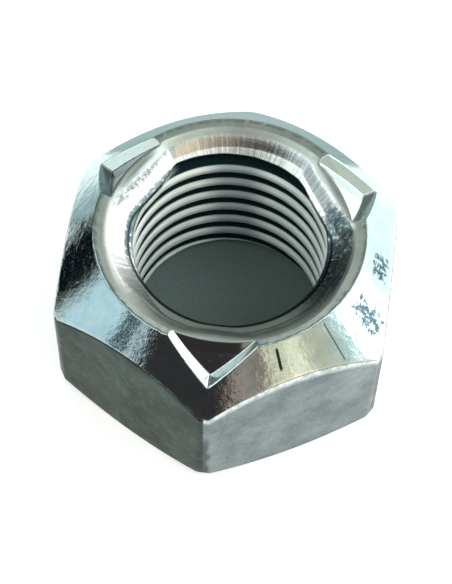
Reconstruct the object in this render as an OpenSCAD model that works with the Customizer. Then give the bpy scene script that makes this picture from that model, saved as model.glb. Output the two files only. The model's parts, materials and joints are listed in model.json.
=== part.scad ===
// All-metal lock nut: a cold formed hexagon with a conical top, a dished rim, and three
// triangular punch marks that press the mouth of the bore out of round.
// The nut rests on its bearing face. The origin is in the middle of that face, +Z is the
// bore's axis, and +X is square to a pair of flats.

/* [Hexagon] */
// Width across the flats
across_flats = 18; // [17:0.25:20]
// Overall height, from the bearing face to the rim
nut_height = 10; // [9.4:0.1:12]
// How far the upright corners fall short of a sharp hexagon, at the top
corner_trim = 0.15; // [0.05:0.01:0.3]
// The same at the foot, where the blank filled the die less
corner_trim_foot = 0.22; // [0.05:0.01:0.4]
// Diameter of the flat bearing face
bearing_diameter = 17.8; // [15.5:0.1:18]
// Slope of the chamfer under the corners, in degrees from flat
bearing_chamfer = 30; // [15:1:40]

/* [Rim] */
// Diameter of the rim, where it meets the cone
rim_diameter = 14.9; // [14.4:0.1:16]
// Slope of the cone between the rim and the flats, in degrees from flat
cone_slope = 46; // [35:1:55]
// Radius on the edge between the cone and the rim
rim_edge_radius = 0.15; // [0.05:0.01:0.3]
// How steeply the rim's band dips towards the bore, in degrees from flat
band_dip = 9; // [0:1:15]
// Radius that rolls the band over into the countersink
roll_radius = 0.7; // [0.4:0.05:0.9]
// Slope of the countersink, in degrees from flat
countersink_slope = 50; // [42:1:60]
// Diameter at the foot of the countersink
countersink_foot = 12.1; // [11.9:0.1:12.3]
// Depth of that foot below the top of the rim
countersink_depth = 0.84; // [0.75:0.01:0.95]

/* [Bore] */
// Minor diameter of the M12 x 1.25 thread
minor_diameter = 10.647; // [10.6:0.001:10.9]
// Diameter of the countersink in the bearing face
entry_diameter = 13; // [12:0.1:14]
// Slope of that countersink, in degrees from flat
entry_slope = 30; // [20:1:60]
// Slope of the lead-in between the foot of the upper countersink and the bore, in degrees from flat
lead_in_slope = 30; // [20:1:40]

/* [Punch marks] */
// Number of corners that are punched
punch_count = 3; // [3]
// Turn of the punch marks past the corners that they point at, in degrees
punch_turn = 1.1; // [-3:0.1:3]
// Height of the bottom of each mark above the bearing face
punch_height = 8.36; // [8:0.02:8.7]
// Slope of the two walls that form the V, in degrees from flat
punch_wall_slope = 34.8; // [30:0.1:40]
// Distance from the bore's axis to the deepest point of a mark
punch_reach = 8.17; // [8:0.01:8.4]
// Slope of the mark's face, which is part of a cone round the bore's axis, in degrees from flat
punch_face_slope = 48; // [44:0.5:54]
// Distance from the bore's axis to the lip of each flat that a punch presses into the mouth
pressed_flat = 5.1; // [5:0.01:5.25]
// Height of that lip above the bearing face
pressed_lip = 8.88; // [8.8:0.01:9]
// Depth of the pressed flats below their lip
pressed_depth = 1.4; // [1:0.1:1.8]
// Width of the pressed lead-in, from the lip to the foot of the pushed wall
pressed_lead_in = 0.32; // [0.2:0.01:0.4]
// Slope of the pushed wall above it, in degrees from flat
pushed_wall_slope = 64; // [55:1:72]
// How steeply the rim dips over each pushed wall, in degrees from flat
pushed_dip = 7.5; // [6:0.5:12]
// How far the pushed metal stays below the band where it leaves it
pushed_sink = 0.03; // [0.02:0.01:0.06]

/* [Hidden] */

// Faces drawn round a circle in the preview
$fn = 96;

zinc = [0.66, 0.71, 0.71];
// How far a cutting shape runs past the face that it opens
past = 1;
// How far a rolled edge stands proud of the faces that it joins, so that they cross cleanly
proud = 0.001;

// Distance from the axis to the hexagon's corners, if they were sharp
sharp_corner = across_flats / 2 / cos(30);
rim_r = rim_diameter / 2;
bearing_r = bearing_diameter / 2;
foot_r = countersink_foot / 2;
minor_r = minor_diameter / 2;
entry_r = entry_diameter / 2;
foot_z = nut_height - countersink_depth;

// A place on a circle in a section, where the tangent has a slope: outward on the right
function on_arc(centre, radius, slope) = centre + radius * [sin(slope), cos(slope)];

// The rim's edge is an arc that touches the top, the cone outside and the band inside
edge_centre = [rim_r - rim_edge_radius * sin(cone_slope), nut_height - rim_edge_radius - proud];
edge_outer = on_arc(edge_centre, rim_edge_radius, cone_slope);
edge_inner = on_arc(edge_centre, rim_edge_radius, -band_dip);

// The trimmed corners run from the chamfer at the foot to the cone at the top
foot_corner_r = sharp_corner - corner_trim_foot;
foot_corner_z = (foot_corner_r - bearing_r) * tan(bearing_chamfer);
top_corner_r = sharp_corner - corner_trim;
top_corner_z = edge_outer[1] - (top_corner_r - edge_outer[0]) * tan(cone_slope);

// The band and the countersink would meet here, and an arc rolls one into the other
sharp_r = (edge_inner[1] - edge_inner[0] * tan(band_dip) - foot_z + foot_r * tan(countersink_slope))
    / (tan(countersink_slope) - tan(band_dip));
sharp_z = foot_z + (sharp_r - foot_r) * tan(countersink_slope);
roll_back = roll_radius * tan((countersink_slope - band_dip) / 2);
roll_outer = [sharp_r, sharp_z] + roll_back * [cos(band_dip), sin(band_dip)];
roll_centre = roll_outer - roll_radius * [-sin(band_dip), cos(band_dip)];
roll_inner = on_arc(roll_centre, roll_radius, -countersink_slope);

// Half of the nut's section through the axis, before its bore is cut
module section() {
    polygon([
        [0, 0],
        [bearing_r, 0],
        [foot_corner_r, foot_corner_z],
        [top_corner_r, top_corner_z],
        edge_outer,
        edge_inner,
        roll_outer,
        roll_inner,
        [foot_r, foot_z],
        [0, foot_z - foot_r * tan(lead_in_slope)]
    ]);
    translate(edge_centre) circle(rim_edge_radius + proud);
    translate(roll_centre) circle(roll_radius + proud);
}

// The six flats, as a prism that runs past both ends of the nut
module hexagon() {
    translate([0, 0, -past]) rotate(30) cylinder(h = nut_height + 2 * past, r = sharp_corner, $fn = 6);
}

// The bore, and the countersink in the bearing face
module open_bore() {
    entry_z = (entry_r - minor_r) * tan(entry_slope);
    rotate_extrude() polygon([
        [0, -past],
        [entry_r + past / tan(entry_slope), -past],
        [minor_r, entry_z],
        [minor_r, nut_height + past],
        [0, nut_height + past]
    ]);
}

// The metal that one punch pushes towards the bore, on the +X side: it leaves a flat in the
// mouth, a lead-in over it, and a pushed wall that the rim dips down to
module pushed_metal() {
    lead_in = [pressed_flat, pressed_lip];
    wall_foot = lead_in + pressed_lead_in * [1, tan(lead_in_slope)];
    back = [roll_outer[0], roll_outer[1] - pushed_sink];
    wall_top_x = (back[1] - back[0] * tan(pushed_dip) - wall_foot[1] + wall_foot[0] * tan(pushed_wall_slope))
        / (tan(pushed_wall_slope) - tan(pushed_dip));
    wall_top = [wall_top_x, wall_foot[1] + (wall_top_x - wall_foot[0]) * tan(pushed_wall_slope)];
    start_z = pressed_lip - pressed_depth;
    intersection() {
        rotate([90, 0, 0]) translate([0, 0, -back[0]]) linear_extrude(2 * back[0]) polygon([
            [minor_r, start_z],
            lead_in,
            wall_foot,
            wall_top,
            back,
            [back[0] + past, back[1] + past * tan(pushed_dip)],
            [back[0] + past, start_z]
        ]);
        cylinder(h = nut_height, r = back[0]);
    }
}

// The hollow that one punch leaves, on the +X side: two straight walls and a conical face
module punch_mark() {
    rise = nut_height + past - punch_height;
    half_width = rise / tan(punch_wall_slope);
    taper = 1 / tan(punch_face_slope);
    difference() {
        translate([0, 0, punch_height]) rotate([90, 0, 90])
            linear_extrude(sharp_corner) polygon([[0, 0], [half_width, rise], [-half_width, rise]]);
        translate([0, 0, punch_height - past]) cylinder(
            h = rise + 2 * past,
            r1 = punch_reach + past * taper,
            r2 = punch_reach - (rise + past) * taper);
    }
}

// Puts its children at each punched corner, the first one at -Y
module at_punches() {
    for (mark = [0:punch_count - 1])
        rotate(mark * 360 / punch_count - 90 + punch_turn) children();
}

module lock_nut() {
    color(zinc) difference() {
        union() {
            difference() {
                intersection() {
                    hexagon();
                    rotate_extrude() section();
                }
                open_bore();
            }
            at_punches() pushed_metal();
        }
        at_punches() punch_mark();
    }
}

lock_nut();
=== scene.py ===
"""An all-metal lock nut, zinc plated, lying on its bearing face.

The nut is one closed mesh, worked out in millimetres round the bore's axis: a hexagon, a cone,
a dished rim with three punch marks, and a helical thread whose mouth is pressed out of round.
"""
import json
import math

import bpy
import numpy as np
from mathutils import Matrix, Vector


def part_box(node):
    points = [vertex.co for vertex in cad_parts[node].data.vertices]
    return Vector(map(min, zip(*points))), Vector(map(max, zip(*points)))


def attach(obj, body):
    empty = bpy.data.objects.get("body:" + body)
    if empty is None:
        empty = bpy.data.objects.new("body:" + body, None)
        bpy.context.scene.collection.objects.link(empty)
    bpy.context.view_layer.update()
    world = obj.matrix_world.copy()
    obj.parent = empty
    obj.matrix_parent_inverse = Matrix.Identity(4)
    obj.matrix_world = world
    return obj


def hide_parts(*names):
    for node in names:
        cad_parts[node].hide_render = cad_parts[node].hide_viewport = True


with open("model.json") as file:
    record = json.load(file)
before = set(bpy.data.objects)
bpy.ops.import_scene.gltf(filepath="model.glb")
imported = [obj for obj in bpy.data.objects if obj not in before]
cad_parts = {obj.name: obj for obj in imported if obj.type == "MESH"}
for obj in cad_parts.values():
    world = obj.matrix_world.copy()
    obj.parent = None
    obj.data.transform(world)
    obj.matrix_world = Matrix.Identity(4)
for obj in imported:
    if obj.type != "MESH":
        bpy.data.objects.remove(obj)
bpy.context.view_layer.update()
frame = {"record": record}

MM = 0.001


def rise(degrees):
    """How far a slope of so many degrees from flat rises over one millimetre."""
    return math.tan(math.radians(degrees))


# The frame gives the overall sizes, and the rest repeats the part's source, in millimetres
high_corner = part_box("lock_nut")[1]
thread_mount = next(m for m in frame["record"]["mounts"] if m["name"] == "thread")
HALF_FLATS = high_corner[0] / MM
TOP_CORNER = high_corner[1] / MM
NUT_HEIGHT = high_corner[2] / MM
MINOR_R = thread_mount["dims"]["r_mm"]
FOOT_CORNER = TOP_CORNER - 0.07
BEARING_R = 8.9
BEARING_CHAMFER = rise(30)
ENTRY_R = 6.5
ENTRY_SLOPE = rise(30)
CONE_ANGLE = math.radians(46)
CONE_SLOPE = math.tan(CONE_ANGLE)
RIM_R = 7.45
RIM_EDGE_RADIUS = 0.15
BAND_ANGLE = math.radians(9)
BAND_DIP = math.tan(BAND_ANGLE)

# The rim's inside: a shoulder between the band and the dish, the dish, and the lead-in below it.
# Towards -X the dish is flatter, and its foot is nearer to the axis by the last length.
SHOULDER = (6.924, 9.934)
SHOULDER_SLOPE = rise(12)
SHOULDER_SLOPE_BACK = rise(33)
DISH_SLOPE = rise(46)
DISH_SLOPE_LEFT = rise(40.5)
DISH_FOOT = (6.05, 9.16)
LEAD_IN_SLOPE = rise(30)
DISH_FOOT_LEFT = 0.5

# The thread: right-hand, with its crests a quarter of the pitch wide
PITCH = 1.25
ROOT_R = 6.0
CREST_HALF = PITCH / 8
FLANK_SLOPE = rise(60)
CREST_AT_BACK = 7.86
THREAD_TOP = 8.62

# The punch marks over every second corner, each a touch out of true, as struck
PUNCHED_CORNERS = [-90, 30, 150]
PUNCH_TURNS = [0.2, 1.9, 1.2]
PUNCH_FACES = [51.5, 44, 49]
PUNCH_MARKS = [math.radians(c + t) for c, t in zip(PUNCHED_CORNERS, PUNCH_TURNS)]
PUNCH_Z = 8.36
PUNCH_REACH = 8.17
PUNCH_WALL = rise(34.8)

# The metal that each punch pushes towards the bore: places in a section square to its flat
PRESS_START = 7.48
PUSHED_LIP = (5.10, 8.88)
PUSHED_FOOT = (5.42, 9.065)
PUSHED_TOP = (5.754, 9.75)
PUSHED_WALL = rise(47)
PUSHED_DIP = rise(7.5)
# How far each mark's flat falls short of the full push
PUSH_SHORT = [0.42, 0.03, 0.09]
# Painted shade on each mark's face, and on its walls past and before the mark
MARK_PAINTED_SHADES = [(0.2, 0.5, 0.0), (0.0, 0.35, 0.05), (1.0, 0.5, 0.4)]

# How far the edge between two faces is rolled over
CRISP = 0.03
SOFT = 0.12
PUSHED_ROLL = 0.35
FRONT_ROLL = 0.45
LIP_ROLL = 0.1

# Directions from the axis
BACK = np.pi / 2
FRONT = -np.pi / 2

rng = np.random.default_rng(7)


def smooth_min(a, b, blend):
    """The lower of two heights, with the crossing rounded over the blend."""
    near = np.maximum(blend - np.abs(a - b), 0) / blend
    return np.minimum(a, b) - near * near * blend / 4


def smooth_max(a, b, blend):
    """The higher of two heights, with the crossing rounded over the blend."""
    return -smooth_min(-a, -b, blend)


def ease(value, start, end):
    """0 before start, 1 after end, and smooth between them."""
    t = np.clip((value - start) / (end - start), 0, 1)
    return t * t * (3 - 2 * t)


def line(place, slope, at):
    """Height of a sloping line through a place."""
    return place[1] + (at - place[0]) * slope


def reach(place, slope, z):
    """How far out a sloping line is at a height."""
    return place[0] + (z - place[1]) / slope


def ripple(theta, waves, strength):
    """An uneven line round the nut: waves of random phase, from the first count to the last."""
    counts = np.arange(waves[0], waves[1])
    phases = rng.uniform(0, 2 * np.pi, len(counts))
    sizes = rng.uniform(0.3, 1, len(counts)) / np.sqrt(len(counts))
    return strength * (sizes[:, None] * np.sin(counts[:, None] * theta + phases[:, None])).sum(0)


def columns(step, windows):
    """Angles round the axis, closer together inside windows: centre, half width and step in degrees."""
    angles = list(np.arange(0, 360, step))
    for centre, half, fine in windows:
        angles = [a for a in angles if abs((a - centre + 180) % 360 - 180) > half]
        angles += [a % 360 for a in np.arange(centre - half, centre + half + fine / 2, fine)]
    angles = np.sort(np.array(angles))
    keep = np.diff(angles, append=angles[0] + 360) > 0.12
    return np.radians(angles[keep])


def hexagon_reach(theta, corner):
    """Distance from the axis to the hexagon's side, with its corners trimmed to a radius."""
    across = (theta + np.pi / 6) % (np.pi / 3) - np.pi / 6
    return smooth_min(HALF_FLATS / np.cos(across), np.full_like(theta, corner), CRISP)


# Where the rim's rounded edge leaves the cone and the band
EDGE_CENTRE = (RIM_R - RIM_EDGE_RADIUS * math.sin(CONE_ANGLE), NUT_HEIGHT - RIM_EDGE_RADIUS)
CONE_START = (RIM_R, EDGE_CENTRE[1] + RIM_EDGE_RADIUS * math.cos(CONE_ANGLE))
BAND_START = (EDGE_CENTRE[0] - RIM_EDGE_RADIUS * math.sin(BAND_ANGLE),
              EDGE_CENTRE[1] + RIM_EDGE_RADIUS * math.cos(BAND_ANGLE))


def cone_z(r):
    """Height of the cone at a distance from the axis."""
    return line(CONE_START, -CONE_SLOPE, r)


def band_z(r):
    """Height of the rim's band at a distance from the axis."""
    return line(BAND_START, BAND_DIP, r)


# Where the cone and the band would meet without the rounded edge
RIM_SHARP_R = (cone_z(0) - band_z(0)) / (CONE_SLOPE + BAND_DIP)


def wrapped(angle):
    """An angle between minus half a turn and half a turn."""
    return (angle + np.pi) % (2 * np.pi) - np.pi


def towards_punch(theta):
    """Cosine of the turn to the nearest punch mark, and how far short its flat falls."""
    turns = np.array([np.abs(wrapped(theta - mark)) for mark in PUNCH_MARKS])
    return np.cos(turns.min(0)), np.array(PUSH_SHORT)[turns.argmin(0)]


def beside(theta, direction, within, gone_by):
    """1 near a direction and 0 away from it."""
    return 1 - ease(np.abs(wrapped(theta - direction)), within, gone_by)


def at_front(theta):
    """1 at -Y, where the rim rolls over gently, and 0 away from it."""
    return beside(theta, -1.5, 0.6, 1.2)


def bright_share(theta):
    """How much of the dish's bright finish there is: the front keeps most of the band's finish."""
    return 1 - 0.85 * at_front(theta)


def shoulder_slope(theta):
    """Slope of the shoulder between the band and the dish, which is steeper at the back."""
    return SHOULDER_SLOPE + (SHOULDER_SLOPE_BACK - SHOULDER_SLOPE) * beside(theta, BACK, 0.7, 1.2)


def dish(theta):
    """Foot and slope of the dish. Towards -X it is a little flatter, and its foot is down the lead-in."""
    left = beside(theta, np.radians(195), 0.5, 0.9)
    foot = (DISH_FOOT[0] - DISH_FOOT_LEFT * left, DISH_FOOT[1] - DISH_FOOT_LEFT * LEAD_IN_SLOPE * left)
    return foot, DISH_SLOPE + (DISH_SLOPE_LEFT - DISH_SLOPE) * left


def rim_z(theta, r):
    """Height of the rim's inside: band, roll, dish, and the metal that the punches pushed in."""
    level = smooth_min(band_z(r), line(SHOULDER, shoulder_slope(theta), r), CRISP)
    foot, slope = dish(theta)
    level = smooth_min(level, line(foot, slope, r), SOFT + FRONT_ROLL * at_front(theta))
    nearness, short = towards_punch(theta)
    along = r * nearness - short
    wall = line(PUSHED_FOOT, PUSHED_WALL, along)
    pushed = smooth_min(wall, line(PUSHED_TOP, PUSHED_DIP, along), PUSHED_ROLL)
    return smooth_max(level, pushed, SOFT)


def mouth_r(theta, z):
    """Radius of the open mouth at a height: the lead-in and the wall over it, round and pushed in."""
    foot, slope = dish(theta)
    opening = smooth_min(reach(foot, slope, z), reach(foot, LEAD_IN_SLOPE, z), CRISP)
    lead_in = reach(PUSHED_LIP, LEAD_IN_SLOPE, z)
    pushed = smooth_min(lead_in, reach(PUSHED_FOOT, PUSHED_WALL, z), CRISP)
    nearness, short = towards_punch(theta)
    return smooth_min(opening, (pushed + short) / nearness, LIP_ROLL)


def closed_up(theta, z):
    """How far the last groove is closed up under the lip: open at the back, closed everywhere else."""
    return (1 - beside(theta, BACK, 0.62, 0.95)) * ease(z, 8.3, 8.46)


def bore_r(theta, z, phase):
    """Radius of the bore's wall, where phase is the distance along the axis from a crest."""
    lean = np.clip(z - PRESS_START, 0, None) / (PUSHED_LIP[1] - PRESS_START)
    nearness, short = towards_punch(theta)
    pressed_crest = MINOR_R + (PUSHED_LIP[0] + short - MINOR_R) * lean
    pressed_root = ROOT_R + (PUSHED_FOOT[0] + short - ROOT_R) * lean * 0.88
    crest = np.minimum(MINOR_R, pressed_crest / nearness)
    root = np.minimum(ROOT_R, pressed_root / nearness)
    # The last crest is pushed up a little, towards the lip
    lift = 0.2 * ease(z, 8.5, 8.8)
    depth = smooth_max((np.abs(phase - lift) - CREST_HALF) * FLANK_SLOPE, 0.0, SOFT)
    share = np.clip(depth / (ROOT_R - MINOR_R), 0, 1) * (1 - closed_up(theta, z))
    return np.maximum(crest + (root - crest) * share, ENTRY_R - z / ENTRY_SLOPE)


def phase_at(theta, z):
    """Distance along the axis from the nearest crest."""
    crest_z = CREST_AT_BACK + PITCH * (theta / (2 * np.pi) - 0.25)
    return (z - crest_z + PITCH / 2) % PITCH - PITCH / 2


def painted_groove_shade(theta, phase, z):
    """Painted shade in the thread: 0 on a land and 1 down in the groove. The lands run up their upper
    flanks, further at the back.
    """
    upper = CREST_HALF + 0.11 - 0.035 * (1 - beside(theta, BACK, 0.5, 1.4))
    shade = np.maximum(ease(phase, upper, upper + 0.03), ease(-phase, CREST_HALF, CREST_HALF + 0.03))
    return shade * (1 - closed_up(theta, z))


def painted_lip_shade(theta, z):
    """A thin line of painted shade along the lip, which at the front sinks to the very edge of the bore."""
    front = beside(theta, FRONT, 0.7, 1.3)
    far = np.abs(z - (8.875 - 0.085 * front))
    band = 1 - ease(far, 0.025 + 0.035 * front, 0.065 + 0.04 * front)
    return (1 - beside(theta, BACK, 0.5, 0.75)) * band


# The valley of a mark: how round it is, how near to the axis and how far to its sides it may go,
# and a height for places that it can't reach
VALLEY_RADIUS = 0.02
VALLEY_FROM = 4
VALLEY_HALF_WIDTH = 4
OUT_OF_REACH = 99


def punched(theta, r, mark, face_angle):
    """One mark's V, its face round the axis, and which side of the mark a place is on."""
    along, across = r * np.cos(theta - mark), r * np.sin(theta - mark)
    valley = PUNCH_Z + PUNCH_WALL * (np.sqrt(across ** 2 + VALLEY_RADIUS ** 2) - VALLEY_RADIUS)
    face = PUNCH_Z + rise(face_angle) * (PUNCH_REACH - r)
    valley, face = (np.where(along > VALLEY_FROM, height, OUT_OF_REACH) for height in (valley, face))
    return valley, face, across


def struck(theta, r, z):
    """Height left by the three punches at a place on the collar."""
    for mark, face_angle in zip(PUNCH_MARKS, PUNCH_FACES):
        valley, face, _ = punched(theta, r, mark, face_angle)
        z = smooth_min(z, smooth_max(valley, face, CRISP), CRISP)
    return z


def stained(theta, r):
    """Painted shade in the marks."""
    shade = np.zeros_like(theta)
    for mark, face_angle, (on_face, past, before) in zip(PUNCH_MARKS, PUNCH_FACES, MARK_PAINTED_SHADES):
        valley, face, across = punched(theta, r, mark, face_angle)
        here = np.where(face > valley, on_face, np.where(across > 0, past, before))
        near = (np.abs(across) < VALLEY_HALF_WIDTH) & (valley < OUT_OF_REACH)
        shade = np.where(near, here, shade)
    return shade


def smudged(theta):
    """Where the dish is darkened: dirt, most of it towards +X, and a little painted shade at the front."""
    return np.maximum(0.9 * beside(theta, -0.15, 0.45, 0.85), 0.2 * at_front(theta))


def lip_smudge(theta, z):
    """Dirt on the lead-in, just outside the lip, from the back round to -X."""
    from_back = wrapped(theta - BACK)
    return 0.9 * ease(from_back, 0.5, 0.7) * (1 - ease(from_back, 1.7, 2.4)) * (1 - ease(z, 8.98, 9.15))


def thread_painted_shade(theta):
    """Painted shade on the thread: a narrow stretch at the back."""
    return 0.7 * beside(theta, 1.63, 0.1, 0.42)


def scuffed(theta, r):
    """Where the cone is scuffed: a patch towards +X, and a stretch down the slope before it."""
    patch = beside(theta, *np.radians([-5, 4, 9])) * (1 - ease(np.abs(r - 8.3), 0.25, 0.75))
    down_slope = beside(theta, *np.radians([-24, 3, 7])) * ease(r, 7.6, 7.9) * (1 - ease(r, 9.4, 9.8))
    return np.maximum(patch, down_slope)


# Masks that the mesh carries from 0 to 1, for its materials. Struck and scuff say where it is punched and
# scuffed.
# Stain is a real blemish on the flats, and painted shade in the marks, over the rim's edge and on the thread
# at the back.
# Smudge is dirt in the dish and on the lead-in, painted shade at the dish's front, and darker over the mark
# towards -X.
# Groove is painted shade deep in the thread and along the lip. Sunk is the dish as against the band, edge is
# the crease over the flats with its painted highlight, and tone is the painted light and shade of each flat.
SHADES = ("struck", "stain", "scuff", "smudge", "sunk", "groove", "edge", "tone")


class Skin:
    """Collects rings of points round the axis, and the faces between them."""

    def __init__(self):
        self.points = []
        self.faces = []
        self.finish = []
        self.shades = {name: [] for name in SHADES}

    def ring(self, theta, r, z, **shades):
        """Adds a ring of points, and gives back the number of its first point and its columns."""
        start = len(self.points)
        self.points += list(zip(r * np.cos(theta), r * np.sin(theta), np.broadcast_to(z, theta.shape)))
        for name, kept in self.shades.items():
            kept += list(np.broadcast_to(shades.get(name, 0.0), theta.shape))
        return start, theta

    def face(self, corners, finish):
        """Adds a face, without the corners that fall together."""
        kept = [c for i, c in enumerate(corners) if c != corners[i - 1]]
        if len(kept) > 2:
            self.faces.append(kept)
            self.finish.append(finish)

    def strip(self, one, two, finish):
        """Faces between two rings of the same columns."""
        (a, theta), (b, _) = one, two
        n = len(theta)
        for j in range(n):
            k = (j + 1) % n
            self.face([a + j, a + k, b + k, b + j], finish)

    def join(self, one, two, finish):
        """Triangles between two rings whose columns differ."""
        (a, first), (b, second) = one, two
        n, m = len(first), len(second)
        ends = np.append(first, first[0] + 2 * np.pi), np.append(second, second[0] + 2 * np.pi)
        i = j = 0
        while i < n or j < m:
            if j == m or (i < n and ends[0][i + 1] <= ends[1][j + 1]):
                self.face([a + i, a + (i + 1) % n, b + j % m], finish)
                i += 1
            else:
                self.face([a + i % n, b + (j + 1) % m, b + j], finish)
                j += 1


def between(start, end, count):
    """Rows of a section strictly between two places, evenly spaced."""
    return [tuple(s + (e - s) * i / (count + 1) for s, e in zip(start, end)) for i in range(1, count + 1)]


def rounded(before, corner, after, size, count):
    """Rows of a section that turn a corner in a curve, which starts and ends its size away from it."""
    ends = []
    for other in (before, after):
        gap = np.hypot(other[0] - corner[0], other[1] - corner[1])
        share = np.minimum(size / np.maximum(gap, 1e-6), 0.45)
        ends.append([c + (o - c) * share for c, o in zip(corner, other)])
    return [tuple((1 - t) ** 2 * p + 2 * t * (1 - t) * c + t * t * q
                  for p, c, q in zip(ends[0], corner, ends[1])) for t in np.linspace(0, 1, count)]


def full(theta, value):
    """The same value in every column."""
    return np.broadcast_to(value, theta.shape).astype(float)


# The zones of the mesh, numbered like their materials
FLATS, CONE, COLLAR, THREAD = range(4)
THREAD_COLUMNS = 360
CORNERS = [30 + 60 * k for k in range(6)]
CORNER_WINDOWS = [(corner, 3, 0.3) for corner in CORNERS]
MARK_WINDOWS = [(math.degrees(mark), 24, 0.4) for mark in PUNCH_MARKS]
# Painted light and shade on each flat, from the one at +X round: darkest at -120 degrees, palest at -60
# degrees
FLAT_PAINTED_LIGHT = [0.5, 0.4, 0.5, 0.6, 0.0, 0.8]
# The roll over the crease between flats and cone: its size, its rows, and how many are on the flats
CREASE_ROLL = 0.13
CREASE_ROWS = 6
CREASE_ROWS_ON_FLATS = 4


def crease_section(theta):
    """The crease between the flats and the cone, and a place a little way up the cone."""
    top_reach = hexagon_reach(theta, TOP_CORNER)
    return (top_reach, cone_z(top_reach)), (top_reach - 0.5, cone_z(top_reach - 0.5))


def blemish(theta, z):
    """A dark, ragged line down the front corner."""
    far = np.abs(wrapped(theta - FRONT) * HALF_FLATS + 0.1 * np.sin(4 * z) - 0.05)
    return (1 - ease(far, 0.05, 0.3)) * ease(z, 0.2, 0.8) * (1 - ease(z, 4.2, 5.2))


def outside(skin):
    """From the foot of the bore across the bearing face and up the flats to the crease."""
    bore = np.radians(np.arange(0, 360, 360 / THREAD_COLUMNS))
    foot = skin.ring(bore, full(bore, ENTRY_R), 0.0)
    inner_base = skin.ring(bore, full(bore, ENTRY_R + 0.1), 0.0)
    skin.strip(foot, inner_base, FLATS)

    theta = columns(2, CORNER_WINDOWS)
    low_reach = hexagon_reach(theta, FOOT_CORNER)
    base = (full(theta, ENTRY_R + 0.15), full(theta, 0))
    bearing = (full(theta, BEARING_R - 0.03), full(theta, 0))
    chamfer = (low_reach, np.maximum(low_reach - BEARING_R, 0.01) * BEARING_CHAMFER)
    crease, up_cone = crease_section(theta)
    rows = [base] + between(base, bearing, 2)
    rows += rounded(base, bearing, chamfer, 0.04, 3)
    rows += rounded(bearing, chamfer, crease, 0.09, 4)
    rows += between(rows[-1], crease, 9)[:-1]
    roll = rounded(chamfer, crease, up_cone, CREASE_ROLL, CREASE_ROWS)[:CREASE_ROWS_ON_FLATS]
    rows += between(rows[-1], roll[0], 2) + roll

    # Painted light and shade: one value for each flat
    tone = np.array(FLAT_PAINTED_LIGHT)[np.round(theta / (np.pi / 3)).astype(int) % 6]
    last = skin.ring(theta, *rows[0], tone=tone)
    skin.join(inner_base, last, FLATS)
    for r, z in rows[1:]:
        # Edge: where the painted highlight lies along the crease, which is also rubbed bright
        edge = ease(z, crease[1] - 0.35, crease[1] - 0.1)
        ring = skin.ring(theta, r, z, edge=edge, tone=tone, stain=blemish(theta, z))
        skin.strip(last, ring, FLATS)
        last = ring
    return foot, last


# Levels of the mouth's rows, and where the dish's rows lie between the mouth and the band
MOUTH_LEVELS = [*np.arange(9.4, 9.2, -0.045), *np.arange(9.19, THREAD_TOP - 0.01, -0.03)]
DISH_SHARES = [0.93, 0.86, 0.79, 0.72, 0.65, 0.58, 0.51, 0.44, 0.37,
               0.31, 0.25, 0.2, 0.15, 0.11, 0.07, 0.04, 0.02]
BAND_END_R = 7.02


def collar_sections(theta):
    """Rows from the crease up the cone to the rim's edge, and from there down the dish."""
    crease, up_cone = crease_section(theta)
    below_crease = (crease[0], full(theta, 1))
    low_r = np.minimum(9.2, crease[0] - 0.3)
    low_cone = (low_r, cone_z(low_r))
    ragged_r = RIM_SHARP_R + ripple(theta, (25, 110), 0.02)
    rim = (ragged_r, cone_z(ragged_r))
    band_end = full(theta, BAND_END_R)
    roll = (band_end, rim_z(theta, band_end))
    edge_rows = rounded(low_cone, rim, roll, 0.1, 5)

    cone_rows = rounded(below_crease, crease, up_cone, CREASE_ROLL, CREASE_ROWS)[CREASE_ROWS_ON_FLATS:]
    cone_rows += between(cone_rows[-1], low_cone, 3) + [low_cone]
    cone_rows += between(low_cone, edge_rows[0], 34) + edge_rows[:3]

    rim_rows = edge_rows[3:] + between(edge_rows[-1], roll, 5) + [roll]
    mouth = mouth_r(theta, full(theta, MOUTH_LEVELS[0]))
    for share in DISH_SHARES:
        r = mouth + (band_end - mouth) * share
        rim_rows.append((r, rim_z(theta, r)))
    return cone_rows, rim_rows


def punched_row(theta, r, z, stain_from, stain_to):
    """Height of a row after the punches, and its masks. Between two heights the rim's edge is darkened with
    painted shade.
    """
    cut = struck(theta, r, z)
    hit = np.clip((z - cut - 0.01) / 0.03, 0, 1)
    # Painted shade in the marks, and over the rim's rounded edge between the two heights
    stain = hit * stained(theta, r) + 0.5 * (1 - hit) * ease(z, stain_from, stain_to)
    return cut, {"struck": hit, "stain": stain}


def cone(skin, theta, rows, last):
    """The cone with its punch marks, from the crease to the rim's edge."""
    crease_r = hexagon_reach(theta, TOP_CORNER)
    for number, (r, z) in enumerate(rows):
        cut, masks = punched_row(theta, r, np.minimum(z, NUT_HEIGHT), 9.93, 9.96)
        # Edge: a painted highlight along the crease, on the cone's side
        edge = ease(r, crease_r - 0.22, crease_r - 0.04)
        ring = skin.ring(theta, r, cut, scuff=scuffed(theta, r), edge=edge, **masks)
        if number == 0:
            skin.join(last, ring, FLATS)
        else:
            skin.strip(last, ring, CONE)
        last = ring
    return last


def rim_inside(skin, theta, rows, last):
    """The band and the dish, from the rim's edge to the mouth."""
    back = beside(theta, BACK, 0.7, 1.1)
    over_left_flat = beside(theta, PUNCH_MARKS[2], 0.3, 0.6)
    for r, z in rows:
        z = np.minimum(z, NUT_HEIGHT)
        cut, masks = punched_row(theta, r, z, 9.975, 9.997)
        depth = band_z(r) - z
        sunk = ease(depth, 0.04 + 0.1 * back, 0.16 + 0.12 * back) * bright_share(theta)
        # Dirt and painted shade in the dish, and darker over the mark towards -X on the band and the top of
        # the dish
        smudge = np.maximum(sunk * smudged(theta), 0.8 * over_left_flat * (1 - ease(depth, 0.2, 0.55)))
        ring = skin.ring(theta, r, cut, sunk=sunk, smudge=smudge, **masks)
        skin.strip(last, ring, COLLAR)
        last = ring
    return last


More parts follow.
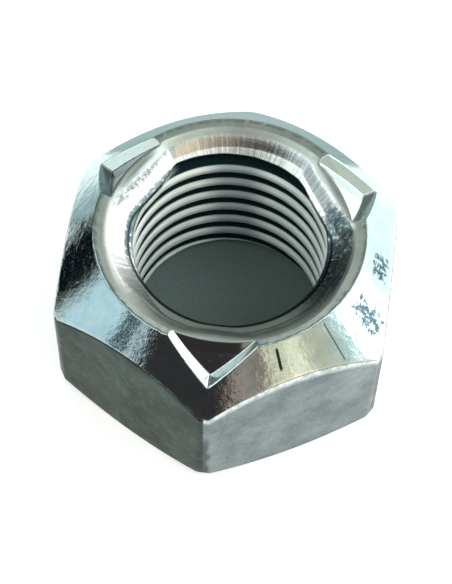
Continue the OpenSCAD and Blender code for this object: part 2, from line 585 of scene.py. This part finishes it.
def mouth_and_lip(skin, theta, last):
    """The mouth, level by level down to the thread, with the lip of the bore on its way."""
    for level in MOUTH_LEVELS:
        z = full(theta, level)
        phase = phase_at(theta, z)
        wall, opening = bore_r(theta, z, phase), mouth_r(theta, z)
        r = np.maximum(wall, opening)
        # Painted shade in the groove and along the lip
        groove = np.maximum(painted_groove_shade(theta, phase, z) * (wall > opening), painted_lip_shade(theta, z))
        smudge = np.maximum(smudged(theta), lip_smudge(theta, z))
        masks = {"sunk": bright_share(theta), "groove": groove, "smudge": smudge}
        ring = skin.ring(theta, r, struck(theta, r, z), **masks)
        skin.strip(last, ring, COLLAR)
        last = ring
    return last


def collar(skin, last):
    """The cone, the rim and the mouth, down to the level where the thread takes over."""
    theta = columns(1.5, CORNER_WINDOWS + MARK_WINDOWS)
    cone_rows, rim_rows = collar_sections(theta)
    last = cone(skin, theta, cone_rows, last)
    last = rim_inside(skin, theta, rim_rows, last)
    return mouth_and_lip(skin, theta, last)


# Places on one turn of the thread's section, along the axis from the middle of a crest
THREAD_ROWS = [-0.547, -0.2, -0.15, -0.09, 0, 0.09, 0.15, 0.2,
               0.235, 0.265, 0.3, 0.34, 0.42, 0.547, PITCH / 2]
# How near to the level ends of the thread a point of it may lie
END_GAP = 0.004


def thread_place(theta, z, phase):
    """Radius of the thread or of the mouth that cuts it, and the painted shade of its groove."""
    return np.maximum(bore_r(theta, z, phase), mouth_r(theta, z)), painted_groove_shade(theta, phase, z)


def threaded_bore(skin, foot, mouth):
    """The helical thread, cut off level at the foot of the bore and where the mouth begins."""
    theta = foot[1]
    level = full(theta, THREAD_TOP)
    top_r, top_groove = thread_place(theta, level, phase_at(theta, level))
    top = skin.ring(theta, top_r, level, groove=top_groove, stain=thread_painted_shade(theta))
    foot_points, top_points = (ring[0] + np.arange(len(theta)) for ring in (foot, top))

    # Rows of points that climb round the axis. Past an end they take the points of its ring.
    per_turn = len(THREAD_ROWS)
    climb = PITCH * (theta / (2 * np.pi) - 0.25)
    turns_below = math.floor((CREST_AT_BACK + PITCH) / PITCH) + 1
    turns = turns_below + math.ceil((THREAD_TOP - CREST_AT_BACK) / PITCH) + 1
    rows = []
    for turn in range(turns):
        for phase in THREAD_ROWS:
            z = CREST_AT_BACK + PITCH * (turn - turns_below) + phase + climb
            kept = np.where((z > END_GAP) & (z < THREAD_TOP - END_GAP))[0]
            r, groove = thread_place(theta, z, full(theta, phase))
            masks = {"groove": groove[kept], "stain": thread_painted_shade(theta[kept])}
            start, _ = skin.ring(theta[kept], r[kept], z[kept], **masks)
            points = np.where(z >= THREAD_TOP - END_GAP, top_points, foot_points)
            points[kept] = start + np.arange(len(kept))
            rows.append(points)

    # After a whole turn a row goes on as the row that started one turn up
    for row in range(len(rows) - 1):
        for j in range(len(theta)):
            k = (j + 1) % len(theta)
            ahead = row + (per_turn if k == 0 else 0)
            lower, upper = (rows[n][k] if n < len(rows) else top_points[k] for n in (ahead, ahead + 1))
            skin.face([rows[row + 1][j], upper, lower, rows[row][j]], THREAD)
    skin.join(mouth, top, THREAD)


def new_object(name, data):
    """A new object in the scene."""
    thing = bpy.data.objects.new(name, data)
    bpy.context.scene.collection.objects.link(thing)
    return thing


def build_nut():
    """The whole nut as one closed mesh, in metres."""
    skin = Skin()
    foot, crease = outside(skin)
    threaded_bore(skin, foot, collar(skin, crease))
    mesh = bpy.data.meshes.new("zinc_plated_nut")
    mesh.from_pydata([tuple(float(c) * MM for c in p) for p in skin.points], [], skin.faces)
    mesh.polygons.foreach_set("material_index", skin.finish)
    mesh.polygons.foreach_set("use_smooth", [True] * len(skin.faces))
    for name, values in skin.shades.items():
        mesh.attributes.new(name, "FLOAT", "POINT").data.foreach_set("value", values)
    mesh.validate()
    nut = new_object("zinc_plated_nut", mesh)
    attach(nut, "root")
    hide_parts("lock_nut")
    return nut


def add(tree, kind, inputs=None, **settings):
    """A shader node with its settings, and its inputs as values or as links from other nodes."""
    node = tree.nodes.new(kind)
    for name, value in settings.items():
        setattr(node, name, value)
    for name, value in (inputs or {}).items():
        if isinstance(value, bpy.types.NodeSocket):
            tree.links.new(value, node.inputs[name])
        else:
            node.inputs[name].default_value = value
    return node


def maths(tree, operation, *values):
    """The output of one sum, with numbers or sockets as its values."""
    return add(tree, "ShaderNodeMath", dict(enumerate(values)), operation=operation).outputs[0]


def spread(tree, value, low, high, out_low=0.0, out_high=1.0):
    """The value between low and high, spread over another range and held to its ends."""
    names = ("Value", "From Min", "From Max", "To Min", "To Max")
    settings = dict(zip(names, (value, low, high, out_low, out_high)))
    return add(tree, "ShaderNodeMapRange", settings).outputs[0]


def mixed(tree, mask, one, two):
    """A colour between two others."""
    node = add(tree, "ShaderNodeMix", {"Factor": mask}, data_type="RGBA")
    # The mix node's colours are its inputs 6 and 7 and its output 2
    for socket, value in ((node.inputs[6], one), (node.inputs[7], two)):
        if isinstance(value, bpy.types.NodeSocket):
            tree.links.new(value, socket)
        else:
            socket.default_value = (*value, 1)
    return node.outputs[2]


def layered(tree, colour, *layers):
    """A colour with others over it, each laid on through its mask."""
    for mask, over in layers:
        colour = mixed(tree, mask, colour, over)
    return colour


def blended(tree, mask, one, two):
    """A number between two others."""
    return add(tree, "ShaderNodeMix", {"Factor": mask, "A": one, "B": two}, data_type="FLOAT").outputs[0]


def times(tree, one, two):
    """Two masks multiplied, or a mask and its share."""
    return maths(tree, "MULTIPLY", one, two)


def weighed(tree, *pairs):
    """The sum of masks, each times its share."""
    total = 0.0
    for mask, share in pairs:
        total = maths(tree, "MULTIPLY_ADD", mask, share, total)
    return total


def group(name, inputs):
    """An empty node group, with numbers (name, value) as its inputs and a mask as its output."""
    tree = bpy.data.node_groups.new(name, "ShaderNodeTree")
    for label, value in inputs:
        tree.interface.new_socket(label, in_out="INPUT", socket_type="NodeSocketFloat").default_value = value
    tree.interface.new_socket("Mask", in_out="OUTPUT", socket_type="NodeSocketFloat")
    return tree, tree.nodes.new("NodeGroupInput").outputs, tree.nodes.new("NodeGroupOutput").inputs["Mask"]


def place_in_mm(tree):
    """The place on the nut as a vector in millimetres, and its three parts."""
    spot = add(tree, "ShaderNodeTexCoord").outputs["Object"]
    scaled = add(tree, "ShaderNodeVectorMath", {0: spot, 1: (1 / MM,) * 3}, operation="MULTIPLY").outputs[0]
    return scaled, add(tree, "ShaderNodeSeparateXYZ", {0: scaled}).outputs


def round_axis(tree, parts):
    """Distance from the bore's axis."""
    squares = maths(tree, "ADD", times(tree, parts[0], parts[0]), times(tree, parts[1], parts[1]))
    return maths(tree, "SQRT", squares)


def noise(tree, vector, scale, detail, roughness=0.55):
    """Soft noise from 0 to 1, with so many features a unit of its vector."""
    settings = {"Vector": vector, "Scale": scale, "Detail": detail, "Roughness": roughness}
    return add(tree, "ShaderNodeTexNoise", settings).outputs[0]


def vector_of(tree, x, y, z):
    """A vector of three numbers."""
    return add(tree, "ShaderNodeCombineXYZ", {0: x, 1: y, 2: z}).outputs[0]


def carried(tree, name):
    """A mask that the mesh carries, by its name."""
    return add(tree, "ShaderNodeAttribute", attribute_name=name).outputs["Fac"]


def clouds_group():
    """Cloudy patches in the plating."""
    tree, given, mask = group("plating_clouds", [("Per mm", 0.6)])
    spot, _ = place_in_mm(tree)
    tree.links.new(noise(tree, spot, given["Per mm"], 5.0, 0.62), mask)
    return tree


def turning_group():
    """Fine marks that run round the axis, as turning leaves them."""
    tree, given, mask = group("turning_marks", [("Per mm", 12.0)])
    spot, parts = place_in_mm(tree)
    drift = noise(tree, spot, 0.35, 1.0)
    out_and_up = maths(tree, "ADD", round_axis(tree, parts), times(tree, parts[2], 0.7))
    vector = vector_of(tree, times(tree, out_and_up, given["Per mm"]), times(tree, drift, 3.0), 0.0)
    tree.links.new(noise(tree, vector, 1.0, 4.0, 0.6), mask)
    return tree


def slope_group():
    """Streaks that run down the slope, away from the axis."""
    tree, given, mask = group("slope_streaks", [("Round", 60.0), ("Down", 1.0)])
    _, parts = place_in_mm(tree)
    r = round_axis(tree, parts)
    x, y = (times(tree, maths(tree, "DIVIDE", part, r), given["Round"]) for part in parts[:2])
    vector = vector_of(tree, x, y, times(tree, r, given["Down"]))
    tree.links.new(noise(tree, vector, 1.0, 4.0, 0.6), mask)
    return tree


def pits_group():
    """Small pits and specks, in loose swarms."""
    tree, given, mask = group("pits", [("Per mm", 3.0), ("Size", 0.16)])
    spot, _ = place_in_mm(tree)
    wobble = noise(tree, spot, 5.0, 2.0)
    swarm = spread(tree, noise(tree, spot, 0.5, 2.0), 0.42, 0.58)
    cells = add(tree, "ShaderNodeTexVoronoi", {"Vector": spot, "Scale": given["Per mm"]}).outputs["Distance"]
    near = maths(tree, "ADD", cells, times(tree, wobble, 0.22))
    pit = spread(tree, near, maths(tree, "ADD", given["Size"], 0.06), given["Size"])
    tree.links.new(times(tree, pit, swarm), mask)
    return tree


def grain_group():
    """The fine crystalline grain of the plating."""
    tree, given, mask = group("plating_grain", [("Per mm", 14.0)])
    spot, _ = place_in_mm(tree)
    tree.links.new(noise(tree, spot, given["Per mm"], 4.0, 0.7), mask)
    return tree


# The shared effects, by short names
GROUPS = {}


def effect(tree, name, **values):
    """The mask of a shared effect, with this material's own values."""
    node = add(tree, "ShaderNodeGroup", node_tree=GROUPS[name])
    for label, value in values.items():
        node.inputs[label.replace("_", " ")].default_value = value
    return node.outputs[0]


def surface(name, plain):
    """A new material with its node tree and its shader, which takes these values all over."""
    material = bpy.data.materials.new(name)
    material.use_nodes = True
    shader = material.node_tree.nodes["Principled BSDF"]
    for label, value in plain.items():
        shader.inputs[label].default_value = value
    return material, material.node_tree, shader


def bumped(tree, shader, height, distance):
    """Raises the surface by a height from 0 to 1, where distance is in millimetres."""
    bump = add(tree, "ShaderNodeBump", {"Height": height, "Distance": distance * MM, "Strength": 1.0})
    tree.links.new(bump.outputs[0], shader.inputs["Normal"])


def stroke(tree, parts, start, end, half_width):
    """A mask for a stroke between two places, which are seen from above and in millimetres."""
    span = Vector(end) - Vector(start)
    along, across = span.normalized(), span.normalized().orthogonal()
    offsets = [maths(tree, "SUBTRACT", part, origin) for part, origin in zip(parts[:2], start)]
    u, v = (weighed(tree, (offsets[0], unit[0]), (offsets[1], unit[1])) for unit in (along, across))
    half = span.length / 2
    from_middle = maths(tree, "ABSOLUTE", maths(tree, "SUBTRACT", u, half))
    near = spread(tree, maths(tree, "ABSOLUTE", v), half_width, half_width * 0.6)
    return times(tree, near, spread(tree, from_middle, half, half - 0.12))


# Plating that a punch has burnished, painted shade in the marks and over the rim's edge, and a painted
# highlight on the crease, which is also rubbed bright
BURNISHED = (0.68, 0.74, 0.73)
PAINTED_SHADE = (0.05, 0.085, 0.085)
CREASE_WEAR_AND_HIGHLIGHT = (0.95, 1.0, 0.98)

# Dark scratches on the cone: both ends seen from above, half the width, and how dark
SCRATCHES = [((3.30, -6.84), (3.76, -7.71), 0.10, 1.0), ((5.56, -5.04), (7.02, -6.13), 0.055, 0.7)]


def flats_finish():
    """Dull, mottled plating on the flats and the bearing face, with painted light and shade that differs
    from flat to flat, and a painted highlight along the crease, which is also rubbed bright.
    """
    material, tree, shader = surface("mottled_flats", {"Metallic": 1.0})
    clouds = effect(tree, "clouds", Per_mm=0.45)
    small = effect(tree, "clouds", Per_mm=2.2)
    grain = effect(tree, "grain", Per_mm=11)
    specks = effect(tree, "pits", Per_mm=1.6, Size=0.10)
    dirt = effect(tree, "grain", Per_mm=6)
    tone = carried(tree, "tone")
    # The two ends of the painted light and shade on the flats: near black where shaded, pale grey where lit
    dark = mixed(tree, tone, (0.010, 0.020, 0.015), (0.16, 0.20, 0.215))
    pale = mixed(tree, tone, (0.048, 0.078, 0.062), (0.33, 0.385, 0.40))
    # A painted highlight along the crease, brighter on the paler flats, on a crease that is also rubbed
    # bright
    crease_wear_and_highlight = times(tree, carried(tree, "edge"), times(tree, tone, 0.9))
    crease_wear_and_highlight = times(tree, crease_wear_and_highlight, spread(tree, small, 0.4, 0.55, 0.45, 1.0))
    colour = layered(
        tree, dark,
        (spread(tree, clouds, 0.38, 0.68), pale),
        (spread(tree, small, 0.52, 0.7, 0.0, 0.5), pale),
        (spread(tree, grain, 0.5, 0.7, 0.0, 0.7), pale),
        (spread(tree, dirt, 0.54, 0.7, 0.0, 0.42), (0.055, 0.068, 0.062)),
        (times(tree, carried(tree, "stain"), 0.8), (0.030, 0.028, 0.026)),
        (times(tree, specks, 0.8), (0.04, 0.045, 0.04)),
        (crease_wear_and_highlight, CREASE_WEAR_AND_HIGHLIGHT))
    tree.links.new(colour, shader.inputs["Base Color"])
    tree.links.new(spread(tree, small, 0.3, 0.7, 0.36, 0.52), shader.inputs["Roughness"])
    bumped(tree, shader, weighed(tree, (grain, 0.5), (small, 1.0), (specks, -0.8)), 0.02)
    return material


def cone_finish():
    """Bright plating on the cone, with fine streaks down the slope that break up its reflections."""
    material, tree, shader = surface("bright_cone", {"Metallic": 1.0})
    clouds = effect(tree, "clouds", Per_mm=0.8)
    waves = effect(tree, "clouds", Per_mm=1.1)
    streaks = effect(tree, "slope", Round=70, Down=1.2)
    grain = effect(tree, "grain", Per_mm=9)
    coarse = effect(tree, "grain", Per_mm=3.4)
    specks = effect(tree, "pits", Per_mm=2.2, Size=0.08)
    plating = mixed(tree, spread(tree, clouds, 0.35, 0.65), (0.44, 0.57, 0.58), (0.54, 0.66, 0.67))
    scuffs = spread(tree, weighed(tree, (coarse, 1.0), (carried(tree, "scuff"), 0.42)), 0.86, 0.93)
    colour = layered(
        tree, plating,
        # A painted highlight along the crease
        (times(tree, carried(tree, "edge"), 0.5), (0.82, 0.86, 0.85)),
        (times(tree, carried(tree, "struck"), 0.7), BURNISHED),
        # Painted shade in the marks and over the rim's edge
        (carried(tree, "stain"), PAINTED_SHADE),
        (times(tree, specks, 0.7), (0.12, 0.14, 0.14)),
        (scuffs, (0.07, 0.12, 0.14)))
    _, parts = place_in_mm(tree)
    for start, end, half_width, share in SCRATCHES:
        scratch = times(tree, stroke(tree, parts, start, end, half_width), share)
        colour = mixed(tree, scratch, colour, (0.02, 0.025, 0.02))
    tree.links.new(colour, shader.inputs["Base Color"])
    tree.links.new(spread(tree, streaks, 0.3, 0.7, 0.05, 0.11), shader.inputs["Roughness"])
    bumped(tree, shader, weighed(tree, (waves, 1.0), (streaks, 0.10), (grain, 0.07), (specks, -0.3)), 0.035)
    return material


def collar_finish():
    """Satin plating on the rim's band, which gives way to the bright, chattered dish inside it."""
    material, tree, shader = surface("satin_collar", {"Metallic": 1.0})
    clouds = effect(tree, "clouds", Per_mm=0.7)
    turning = effect(tree, "turning", Per_mm=9)
    grain = effect(tree, "grain", Per_mm=12)
    coarse = effect(tree, "grain", Per_mm=4)
    specks = effect(tree, "pits", Per_mm=1.5, Size=0.10)
    chatter = effect(tree, "slope", Round=38, Down=0.6)
    sunk, hit, smudge = (carried(tree, name) for name in ("sunk", "struck", "smudge"))

    band = mixed(tree, spread(tree, clouds, 0.35, 0.65), (0.35, 0.405, 0.38), (0.45, 0.51, 0.48))
    band = mixed(tree, spread(tree, grain, 0.5, 0.72, 0.0, 0.6), band, (0.28, 0.32, 0.30))
    dish_tone = mixed(tree, spread(tree, chatter, 0.35, 0.65), (0.50, 0.52, 0.51), (0.74, 0.76, 0.75))
    # Dark mottling in the dish: dirt, and painted shade at the front
    dirt = spread(tree, weighed(tree, (coarse, 1.0), (smudge, 0.32)), 0.58, 0.78)
    dish_tone = mixed(tree, times(tree, dirt, smudge), dish_tone, (0.04, 0.075, 0.085))
    colour = layered(
        tree, band,
        (sunk, dish_tone),
        (times(tree, hit, 0.7), BURNISHED),
        # Painted shade in the marks and over the rim's edge
        (carried(tree, "stain"), PAINTED_SHADE),
        (times(tree, specks, 0.8), (0.10, 0.10, 0.09)),
        # Painted shade in the groove and along the lip
        (carried(tree, "groove"), (0.014, 0.028, 0.036)))
    tree.links.new(colour, shader.inputs["Base Color"])

    satin = spread(tree, grain, 0.3, 0.7, 0.28, 0.42)
    roughness = blended(tree, hit, blended(tree, sunk, satin, 0.2), 0.08)
    tree.links.new(roughness, shader.inputs["Roughness"])
    rippled = times(tree, chatter, times(tree, sunk, 1.5))
    relief = weighed(tree, (turning, 0.6), (grain, 0.4), (specks, -0.6), (rippled, 1.0))
    bumped(tree, shader, times(tree, relief, spread(tree, hit, 0.0, 1.0, 1.0, 0.15)), 0.012)
    return material


def thread_finish():
    """Drawn thread, with fine lines along its turns, bright lands, and grooves darkened with painted shade
    and without specular reflection.
    """
    material, tree, shader = surface("cut_thread", {"Metallic": 0.15})
    turning = effect(tree, "turning", Per_mm=16)
    clouds = effect(tree, "clouds", Per_mm=0.8)
    groove = carried(tree, "groove")
    land = mixed(tree, spread(tree, turning, 0.3, 0.7), (0.70, 0.79, 0.77), (0.93, 1.0, 0.98))
    colour = layered(
        tree, land,
        # Painted shade on the thread at the back
        (carried(tree, "stain"), (0.14, 0.21, 0.25)),
        # Painted shade in the grooves
        (groove, (0.008, 0.018, 0.022)))
    tree.links.new(colour, shader.inputs["Base Color"])
    tree.links.new(spread(tree, groove, 0.0, 1.0, 0.4, 0.0), shader.inputs["Specular IOR Level"])
    tree.links.new(spread(tree, clouds, 0.3, 0.7, 0.34, 0.46), shader.inputs["Roughness"])
    bumped(tree, shader, turning, 0.012)
    return material


def dress(nut):
    """Builds the shared effects, and gives each zone of the nut its finish."""
    GROUPS["clouds"] = clouds_group()
    GROUPS["turning"] = turning_group()
    GROUPS["slope"] = slope_group()
    GROUPS["pits"] = pits_group()
    GROUPS["grain"] = grain_group()
    for finish in (flats_finish, cone_finish, collar_finish, thread_finish):
        nut.data.materials.append(finish())


def stage_sheet(name, width, depth):
    """A flat rectangle in its own XY plane, in metres, for the stage."""
    mesh = bpy.data.meshes.new(name)
    x, y = width / 2, depth / 2
    mesh.from_pydata([(-x, -y, 0), (x, -y, 0), (x, y, 0), (-x, y, 0)], [], [(0, 1, 2, 3)])
    sheet = new_object(name, mesh)
    return sheet


def glowing(name, colour, strength):
    """A plain emitting material."""
    material = bpy.data.materials.new(name)
    material.use_nodes = True
    tree = material.node_tree
    tree.nodes.clear()
    glow = add(tree, "ShaderNodeEmission", {"Color": (*colour, 1), "Strength": strength})
    add(tree, "ShaderNodeOutputMaterial", {"Surface": glow.outputs[0]})
    return material


# The stage, in metres, and how many corners its round mat has
CARD_DISTANCE = 0.4
FLAG_DISTANCE = 0.032
FLOOR_SIZE = 4
FLOOR_Z = -0.00003
MAT_Z = -0.00001
MAT_R = 0.0087
MAT_CORNERS = 96


def card(name, azimuth, elevation, width, height, colour, strength=1.0, distance=CARD_DISTANCE):
    """A studio card that faces the nut. Its direction and size are in degrees, seen from the nut."""
    a, e = math.radians(azimuth), math.radians(elevation)
    away = Vector((math.cos(a) * math.cos(e), math.sin(a) * math.cos(e), math.sin(e)))
    size = [2 * distance * rise(s / 2) for s in (width, height)]
    sheet = stage_sheet(name, *size)
    sheet.location = away * distance + Vector((0, 0, NUT_HEIGHT * MM))
    sheet.rotation_euler = away.to_track_quat("Z", "Y").to_euler()
    sheet.data.materials.append(glowing(name, colour, strength))
    sheet.visible_camera = False
    sheet.visible_shadow = False


def pale_floor():
    """A plain floor that goes white in the picture and still shows the nut's shadow."""
    floor = stage_sheet("floor", FLOOR_SIZE, FLOOR_SIZE)
    floor.location.z = FLOOR_Z
    material, _, _ = surface("pale_floor", {
        "Base Color": (0.8, 0.8, 0.8, 1),
        "Roughness": 1.0,
        "Specular IOR Level": 0.0,
        "Emission Color": (1, 1, 1, 1),
        "Emission Strength": 0.57,
    })
    floor.data.materials.append(material)


def plain_room():
    """Soft light from all round."""
    world = bpy.data.worlds.new("plain_room")
    world.use_nodes = True
    world.node_tree.nodes["Background"].inputs["Color"].default_value = (0.42, 0.43, 0.39, 1)
    bpy.context.scene.world = world


def mirrored_cards():
    """The cards that the bright metal mirrors, where a nearer card hides what is behind it."""
    # From +X round to the camera
    card("window", 27, 12, 72, 60, (1.0, 1.0, 1.0), 2.7)
    card("window_near", 36, -7, 50, 20, (0.96, 1.0, 1.0), 1.65, distance=FLAG_DISTANCE)
    card("high_window", -5, 54, 44, 24, (0.96, 1.0, 0.98), 3.3)
    card("pale_wall", -14.5, 13, 11, 30, (0.66, 0.74, 0.70), 1.5, distance=0.39)
    card("green_wall", -27, 20, 17, 30, (0.84, 0.74, 0.56))
    card("warm_wall", -46.5, 25, 23, 32, (1.55, 1.32, 0.98))
    card("brown_post", -63, 27, 9, 30, (0.36, 0.24, 0.20))
    card("thin_post", -50.5, 25, 2.4, 34, (0.07, 0.07, 0.05), distance=0.34)
    card("thin_rail", -17.5, 18, 1.2, 24, (0.12, 0.13, 0.12), distance=0.34)
    # From the camera round to -X
    card("dark_front", -106, 24, 62, 32, (0.05, 0.042, 0.045), distance=0.36)
    card("beige_strip", -76.5, 31, 10, 18, (0.58, 0.40, 0.34), distance=0.34)
    card("light_strip", -139, 21, 6, 30, (0.9, 1.0, 1.05), distance=0.34)
    card("teal_patch", -147, 19, 9, 18, (0.05, 0.09, 0.10), distance=0.35)
    card("sky_panel", -160, 20, 38, 36, (0.85, 1.02, 1.10))
    # At the back and high up
    card("dark_back_left", 129, 14, 34, 32, (0.04, 0.05, 0.055), distance=0.36)
    card("warm_high", -32, 48, 24, 14, (1.0, 1.08, 0.92), distance=0.38)
    card("left_middle", 166, 37, 26, 18, (0.96, 1.0, 1.0), 2.6)
    card("left_high", -152, 50, 34, 26, (0.98, 1.06, 1.0), 1.7)
    card("back_high", 100, 37, 52, 18, (1.0, 1.04, 1.0), 1.5)
    # Close behind the nut, for the flats and for the far side of the cone
    card("black_flag", 170, -2, 29, 14, (0.004, 0.006, 0.010), distance=FLAG_DISTANCE)
    card("teal_flag", 92, -7, 60, 17, (0.24, 0.36, 0.36), distance=FLAG_DISTANCE)
    card("slate_flag", 139, -7, 34, 17, (0.50, 0.62, 0.62), distance=FLAG_DISTANCE)
    card("back_flag", 95, -20, 64, 24, (0.52, 0.64, 0.63), distance=0.019)
    # Beside the camera
    card("lamp_by_camera", -92, 54, 50, 12, (0.80, 0.84, 0.82))
    card("lamp_beside_camera", -46, 62, 22, 16, (1.0, 1.0, 0.94), 1.6)


def mat_under_nut():
    """A grey mat that lies under the nut and shows through its bore."""
    mesh = bpy.data.meshes.new("grey_mat")
    turns = np.linspace(0, 2 * np.pi, MAT_CORNERS, endpoint=False)
    corners = [(MAT_R * math.cos(turn), MAT_R * math.sin(turn), MAT_Z) for turn in turns]
    mesh.from_pydata(corners, [], [range(MAT_CORNERS)])
    new_object("grey_mat", mesh)
    material, tree, shader = surface("grey_card", {"Roughness": 0.9, "Specular IOR Level": 0.1})
    specks = effect(tree, "pits", Per_mm=0.8, Size=0.03)
    fibres = effect(tree, "grain", Per_mm=7)
    card_tone = mixed(tree, spread(tree, fibres, 0.3, 0.7), (0.165, 0.225, 0.22), (0.225, 0.295, 0.29))
    tree.links.new(mixed(tree, specks, card_tone, (0.02, 0.02, 0.02)), shader.inputs["Base Color"])
    mesh.materials.append(material)


# The camera, fitted to the photograph: places in millimetres, angles in degrees
IMAGE_WIDTH = 452
FOCAL_PX = 1819.3
CAMERA_DISTANCE = 106.657
CAMERA_ELEVATION = 58.366
CAMERA_AZIMUTH = 5.973
CAMERA_ROLL = 1.912
CAMERA_SHIFT = (-0.0614, 1.8315)
SENSOR_WIDTH = 36


def camera():
    """The camera at the photograph's angle."""
    a, e, roll = (math.radians(v) for v in (CAMERA_AZIMUTH, CAMERA_ELEVATION, CAMERA_ROLL))
    back = Vector((math.sin(a) * math.cos(e), -math.cos(a) * math.cos(e), math.sin(e)))
    right = Vector((math.cos(a), math.sin(a), 0))
    up = back.cross(right)
    tilted_right = right * math.cos(roll) + up * math.sin(roll)
    tilted_up = up * math.cos(roll) - right * math.sin(roll)
    place = back * CAMERA_DISTANCE + tilted_right * CAMERA_SHIFT[0] + tilted_up * CAMERA_SHIFT[1]
    data = bpy.data.cameras.new("camera")
    data.sensor_fit = "HORIZONTAL"
    data.sensor_width = SENSOR_WIDTH
    data.lens = FOCAL_PX / IMAGE_WIDTH * SENSOR_WIDTH
    data.clip_start = 0.005
    data.clip_end = 20
    shot = new_object("camera", data)
    turn = Matrix((tilted_right, tilted_up, back)).transposed().to_4x4()
    shot.matrix_world = Matrix.Translation(place * MM) @ turn
    bpy.context.scene.camera = shot


nut = build_nut()
dress(nut)
pale_floor()
plain_room()
mirrored_cards()
mat_under_nut()
camera()
bpy.context.scene.view_settings.view_transform = "Standard"
